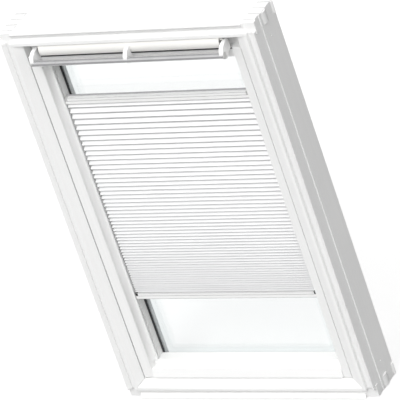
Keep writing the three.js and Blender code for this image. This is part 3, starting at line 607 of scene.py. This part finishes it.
STRIP_INSET = 2.2
STRIP_FRONT = 1.1
GROOVE_OUTER = 14
GROOVE_INNER = 26.9
GROOVE_TOP = 8.6
GROOVE_FLOOR = 11.4
BOARD_INNER = 35.9
BOARD_FRONT = 0.02
END_BACK = 12.1
JAMB_SECTION = (
    (STRIP_INSET, STRIP_FRONT),
    (GROOVE_OUTER, GROOVE_TOP),
    (GROOVE_OUTER, GROOVE_FLOOR),
    (GROOVE_INNER, GROOVE_FLOOR),
    (GROOVE_INNER, BOARD_FRONT),
    (BOARD_INNER, BOARD_FRONT),
    (BOARD_INNER, END_BACK),
    (STRIP_INSET, END_BACK),
)
JAMB_END_DROPS = (27.2, 36.9)
JAMB_END_ROUNDING = 0.35
FINGER_EDGES = (26, 55, 84, 113)
JOINT_INSETS = (0.4, 40)
JOINT_HALF_WIDTH = 0.45
JOINT_DROPS = (0.05, 1.1)
PRISM_SHARP_FROM = 40


def prism(name, section, heights, material, rounding=0):
    """A solid on the frame with the section drawn in X and Y, from one height to another."""
    made = bmesh.new()
    feet, tops = ([made.verts.new((x, y, z)) for x, y in section] for z in heights)
    made.faces.new(feet)
    made.faces.new(tops)
    for i in range(len(section)):
        j = (i + 1) % len(section)
        made.faces.new((feet[i], feet[j], tops[j], tops[i]))
    bmesh.ops.recalc_face_normals(made, faces=made.faces)
    if rounding:
        bmesh.ops.bevel(
            made,
            geom=made.edges[:],
            offset=rounding * MM,
            segments=BEVEL_STEPS,
            profile=0.5,
            affect="EDGES",
        )
    mesh = mesh_of(name, made)
    piece = new_piece(name, mesh, material)
    shade(mesh, PRISM_SHARP_FROM)
    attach(piece, "frame")


def heights_of(end, drops):
    """The two heights at drops from the frame's top or from its foot, the lower one first."""
    if end == "head":
        return sorted(FRAME_TOP - drop * MM for drop in drops)
    return sorted(FRAME_BOTTOM + drop * MM for drop in drops)


def on_jamb(side, inset, depth):
    return side * (OUTER_FACE - inset * MM), FRAME_FRONT + depth * MM


def make_corner(side, side_name, end):
    section = [on_jamb(side, inset, depth) for inset, depth in JAMB_SECTION]
    heights = heights_of(end, JAMB_END_DROPS)
    prism("jamb_end_%s_%s" % (end, side_name), section, heights, looks["timber_z"], JAMB_END_ROUNDING)
    outer, inner = JOINT_INSETS
    # Dark strips just under the face in the gaps between the fingers: glue lines and painted shadow of
    # the gaps
    for number, edge in enumerate(FINGER_EDGES, 1):
        front, back = edge - JOINT_HALF_WIDTH, edge + JOINT_HALF_WIDTH
        corners = ((outer, front), (inner, front), (inner, back), (outer, back))
        section = [on_jamb(side, inset, depth) for inset, depth in corners]
        name = "joint_line_%s_%s_%d" % (end, side_name, number)
        prism(name, section, heights_of(end, JOINT_DROPS), looks["joint"])


for side, side_name in ((-1, "left"), (1, "right")):
    for end in ("head", "foot"):
        make_corner(side, side_name, end)

# Painted shadow lines on the fronts of the blind's bars, in their grooves and along their top and bottom
# edges, and the brush on the upper one, in millimetres

# Each painted shadow line: its foot and top over the bar's foot, and its front and back behind the bar's
# front
BAR_SHADOW_LINES = ((8.6, 10.4, 1.6, 2.0), (17.7, 18.8, -0.06, 0.2), (0.15, 1.25, -0.06, 0.2))
SHADOW_LINE_END = 0.4
BRUSH_FRONT = 12.9
BRUSH_BACK = 15.3
BRUSH_SUNK = 3.9
BRUSH_PROUD = 3.6
BRUSH_END = 2
BOX_FACES = ((0, 1, 3, 2), (4, 6, 7, 5), (0, 4, 5, 1), (2, 3, 7, 6), (0, 2, 6, 4), (1, 5, 7, 3))


def box_piece(name, boxes, material, body):
    """One piece of some boxes, each given by its ranges in X, Y and Z."""
    made = bmesh.new()
    for xs, ys, zs in boxes:
        corners = [made.verts.new((x, y, z)) for x in xs for y in ys for z in zs]
        for face in BOX_FACES:
            made.faces.new([corners[i] for i in face])
    bmesh.ops.recalc_face_normals(made, faces=made.faces)
    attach(new_piece(name, mesh_of(name, made), material), body)


# Dark boxes on a bar's front that paint the shadow in its groove and along its edges
def groove_bar(node, body):
    low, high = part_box(node)
    xs = (low.x + SHADOW_LINE_END * MM, high.x - SHADOW_LINE_END * MM)
    boxes = []
    for foot, top, front, back in BAR_SHADOW_LINES:
        boxes.append((xs, (low.y + front * MM, low.y + back * MM), (low.z + foot * MM, low.z + top * MM)))
    box_piece(node + "_grooves", boxes, looks["groove"], body)


def make_brush():
    low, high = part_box("blind_top_bar")
    xs = (low.x + BRUSH_END * MM, high.x - BRUSH_END * MM)
    ys = (low.y + BRUSH_FRONT * MM, low.y + BRUSH_BACK * MM)
    zs = (high.z - BRUSH_SUNK * MM, high.z + BRUSH_PROUD * MM)
    box_piece("blind_top_bar_brush", [(xs, ys, zs)], looks["brush"], "blind_top")


groove_bar("blind_top_bar", "blind_top")
groove_bar("blind_bottom_bar", "blind_bottom")
make_brush()

# Pleated fabric

FABRIC_LOW, FABRIC_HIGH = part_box("blind_fabric")
FABRIC_FRONT = FABRIC_LOW.y
FABRIC_GAP = 0.3 * MM
FABRIC_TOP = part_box("blind_top_bar")[0].z - FABRIC_GAP
FABRIC_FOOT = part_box("blind_bottom_bar")[1].z + FABRIC_GAP
PLEATS = 53
LAST_PITCH_SHARE = 0.345
FACET = 12.4 * MM
FOLD_ROUNDING = 0.5 * MM
FOLD_LIMIT_SHARE = 0.3
COLUMNS = 60
CLOTH_SHARP_FROM = 40
BAND_EVENNESS = 1.18
HALVINGS = 60

# Waves in the cloth: height, and radians per metre across and up
WAVES = ((0.1 * MM, 37, 61), (0.06 * MM, 83, -29))
WAVES_END_AT_FOLD = 4 * MM
WAVES_END_AT_SIDE = 10 * MM


def valley_heights():
    """Heights of the back folds. Their pitch shrinks by one ratio from each pleat to the next."""
    ratio = LAST_PITCH_SHARE ** (1 / PLEATS)
    whole = 1 - ratio**PLEATS
    return [FABRIC_TOP + (FABRIC_FOOT - FABRIC_TOP) * (1 - ratio**i) / whole for i in range(PLEATS + 1)]


def fold_lines():
    """Points down the fabric, one for each fold: its depth and height."""
    valleys = valley_heights()
    lines = []
    for i, z in enumerate(valleys):
        neighbour = valleys[i + 1] if i < PLEATS else valleys[i - 1]
        pitch = abs(z - neighbour)
        reach = math.sqrt(FACET**2 - (pitch / 2) ** 2)
        lines.append((FABRIC_FRONT + reach, z))
        if i < PLEATS:
            lines.append((FABRIC_FRONT, z - pitch / 2))
    return lines


def smooth_share(share):
    """The t at which 3 t^2 - 2 t^3 is the share."""
    low, high = 0.0, 1.0
    for _ in range(HALVINGS):
        middle = (low + high) / 2
        if middle * middle * (3 - 2 * middle) < share:
            low = middle
        else:
            high = middle
    return (low + high) / 2


def steepest(a, b):
    """The steepest slope of 3 t^2 - 2 t^3 between a and b."""
    tries = (a, b, 0.5) if a < 0.5 < b else (a, b)
    return max(6 * t * (1 - t) for t in tries)


def band_cuts(lines):
    """Indices of the folds where the fabric is cut into bands, over each of which 3 t^2 - 2 t^3 rises
    nearly evenly.

    Also each fold's share of the way down.
    """
    top, bottom = lines[0][1], lines[-1][1]
    shares = [(top - z) / (top - bottom) for _, z in lines]
    cuts = [0, 1]
    last = len(lines) - 2
    while cuts[-1] < last:
        start = cuts[-1]
        end = start + 1
        while end < last:
            a, b = smooth_share(shares[start]), smooth_share(shares[end + 1])
            mean = (shares[end + 1] - shares[start]) / (b - a)
            if steepest(a, b) > BAND_EVENNESS * mean:
                break
            end += 1
        cuts.append(end)
    cuts.append(len(lines) - 1)
    return cuts, shares


def section_points(lines, first, last):
    """The fabric's line between two folds, as points of depth, height, and two marks for painted shade.

    Folds are marked for painted shade, and the middle of a facet that faces down for painted shade too.
    Every fold but the first and last is rounded by two points.
    """
    points = []
    for i in range(first, last + 1):
        y, z = lines[i]
        if i in (first, last):
            points.append((y, z, 1.0, 0.0))
        else:
            for other in (lines[i - 1], lines[i + 1]):
                away = Vector((other[0] - y, other[1] - z))
                step = away.normalized() * min(FOLD_ROUNDING, away.length * FOLD_LIMIT_SHARE)
                points.append((y + step.x, z + step.y, 1.0, 0.0))
        if i < last:
            next_y, next_z = lines[i + 1]
            points.append(((y + next_y) / 2, (z + next_z) / 2, 0.0, 1.0 if next_y > y else 0.0))
    return points


def waviness(x, y, z):
    """How far the cloth waves back and forth, dying out at its folds and sides."""
    at_fold = min(1.0, (y - FABRIC_FRONT) / WAVES_END_AT_FOLD, (FABRIC_HIGH.y - y) / WAVES_END_AT_FOLD)
    at_side = min(1.0, (x - FABRIC_LOW.x) / WAVES_END_AT_SIDE, (FABRIC_HIGH.x - x) / WAVES_END_AT_SIDE)
    wave = sum(height * math.sin(across * x + up * z) for height, across, up in WAVES)
    return wave * max(0, at_fold) * at_side


def band_mesh(name, points):
    left, right = FABRIC_LOW.x, FABRIC_HIGH.x
    xs = [left + (right - left) * i / COLUMNS for i in range(COLUMNS + 1)]
    vertices = [(x, y + waviness(x, y, z), z) for y, z, _, _ in points for x in xs]
    width = len(xs)
    faces = []
    for row in range(len(points) - 1):
        for column in range(COLUMNS):
            a = row * width + column
            faces.append((a, a + width, a + width + 1, a + 1))
    mesh = bpy.data.meshes.new(name)
    mesh.from_pydata(vertices, [], faces)
    # Marks where the cloth gets painted shade: on its folds and on the facets that face down
    for mark, index in (("painted_crease_shade", 2), ("painted_underside_shade", 3)):
        marks = mesh.attributes.new(mark, "FLOAT", "POINT")
        marks.data.foreach_set("value", [point[index] for point in points for _ in xs])
    shade(mesh, CLOTH_SHARP_FROM)
    return mesh


def fabric_band(index, lines, first, last):
    """One band of the fabric, between two of its folds."""
    name = "fabric_band_%02d" % index
    points = section_points(lines, first, last)
    piece = new_piece(name, band_mesh(name, points), looks["cloth"])
    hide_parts("blind_fabric")
    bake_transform(piece)


def make_fabric():
    lines = fold_lines()
    cuts, shares = band_cuts(lines)
    for index, (first, last) in enumerate(zip(cuts, cuts[1:]), 1):
        fabric_band(index, lines, first, last)


make_fabric()

# Floor

FLOOR_HALF = 60
FLOOR_GAP = 0.5 * MM
FLOOR_SEEN = (0.3, 0.3, 0.3, 1)
FLOOR_UNSEEN = (0.2, 0.2, 0.2, 1)
FLOOR_GLOW = 0.74
MIRRORED_SHARE = 0.25


def diffuse(graph, color):
    made = graph.node("ShaderNodeBsdfDiffuse")
    made.inputs["Color"].default_value = color
    return made.outputs["BSDF"]


def floor_material():
    """White with the object's shadow where it is seen, dimmed in mirrors, and grey for other light."""
    material = bpy.data.materials.new("floor")
    material.use_nodes = True
    graph = Graph(material.node_tree)
    graph.tree.nodes.clear()
    glow = graph.node("ShaderNodeEmission")
    glow.inputs["Strength"].default_value = FLOOR_GLOW
    white = graph.node("ShaderNodeAddShader")
    graph.link(diffuse(graph, FLOOR_SEEN), white.inputs[0])
    graph.link(glow.outputs["Emission"], white.inputs[1])
    path = graph.node("ShaderNodeLightPath").outputs
    mirrored = graph.math("MULTIPLY", path["Is Glossy Ray"], MIRRORED_SHARE)
    seen = graph.math("MAXIMUM", path["Is Camera Ray"], mirrored)
    seen = graph.math("MAXIMUM", seen, path["Is Transmission Ray"])
    both = graph.mix_shaders(seen, diffuse(graph, FLOOR_UNSEEN), white.outputs["Shader"])
    output = graph.node("ShaderNodeOutputMaterial")
    graph.link(both, output.inputs["Surface"])
    return material


def make_floor():
    mesh = bpy.data.meshes.new("floor")
    z = cad_low.z - FLOOR_GAP
    corners = [(x * FLOOR_HALF, y * FLOOR_HALF, z) for x, y in ((-1, -1), (1, -1), (1, 1), (-1, 1))]
    mesh.from_pydata(corners, [], [(0, 1, 2, 3)])
    new_piece("floor", mesh, floor_material())


# Light: a dome that is brightest along its axis, a sun from the front and a weaker one from behind

DOME_AXIS = (0.14, -0.8, 0.6)
DOME_FACING = (-0.25, 0.4)
DOME_STRENGTHS = (0.08, 1.24)
MIRROR_FACING = (0.0, -0.85)
MIRROR_STRENGTHS = (0.42, 0.95)
BACKGROUND = 1.0


def make_world():
    """The dome lights the object, mirrors show a plain gradient, and the camera sees white."""
    world = bpy.data.worlds.new("studio")
    scene.world = world
    world.use_nodes = True
    graph = Graph(world.node_tree)
    graph.tree.nodes.clear()
    direction = graph.node("ShaderNodeTexCoord").outputs["Generated"]
    facing = graph.node("ShaderNodeVectorMath", operation="DOT_PRODUCT")
    graph.link(direction, facing.inputs[0])
    facing.inputs[1].default_value = DOME_AXIS
    dome = graph.span(facing.outputs["Value"], *DOME_FACING, *DOME_STRENGTHS)
    mirrored = graph.span(graph.split(direction)["Y"], *MIRROR_FACING, *MIRROR_STRENGTHS)
    path = graph.node("ShaderNodeLightPath").outputs
    seen = graph.math("MAXIMUM", path["Is Camera Ray"], path["Is Transmission Ray"])
    level = graph.node("ShaderNodeMix")
    graph.link(seen, level.inputs[0])
    graph.link(dome, level.inputs[2])
    level.inputs[3].default_value = BACKGROUND
    strength = graph.node("ShaderNodeMix")
    graph.link(path["Is Glossy Ray"], strength.inputs[0])
    graph.link(level.outputs[0], strength.inputs[2])
    graph.link(mirrored, strength.inputs[3])
    background = graph.node("ShaderNodeBackground")
    background.inputs["Color"].default_value = (1, 1, 1, 1)
    graph.link(strength.outputs[0], background.inputs["Strength"])
    output = graph.node("ShaderNodeOutputWorld")
    graph.link(background.outputs["Background"], output.inputs["Surface"])


def make_sun(name, toward, strength, angle):
    data = bpy.data.lights.new(name, "SUN")
    data.energy = strength
    data.angle = math.radians(angle)
    sun = bpy.data.objects.new(name, data)
    scene.collection.objects.link(sun)
    sun.rotation_mode = "QUATERNION"
    sun.rotation_quaternion = Vector(toward).to_track_quat("Z", "Y")
    sun.visible_glossy = False


make_floor()
make_world()
make_sun("key", toward=(0.1, -0.95, 1), strength=1.15, angle=20)
make_sun("back", toward=(-0.4, 1, 0.35), strength=0.5, angle=40)
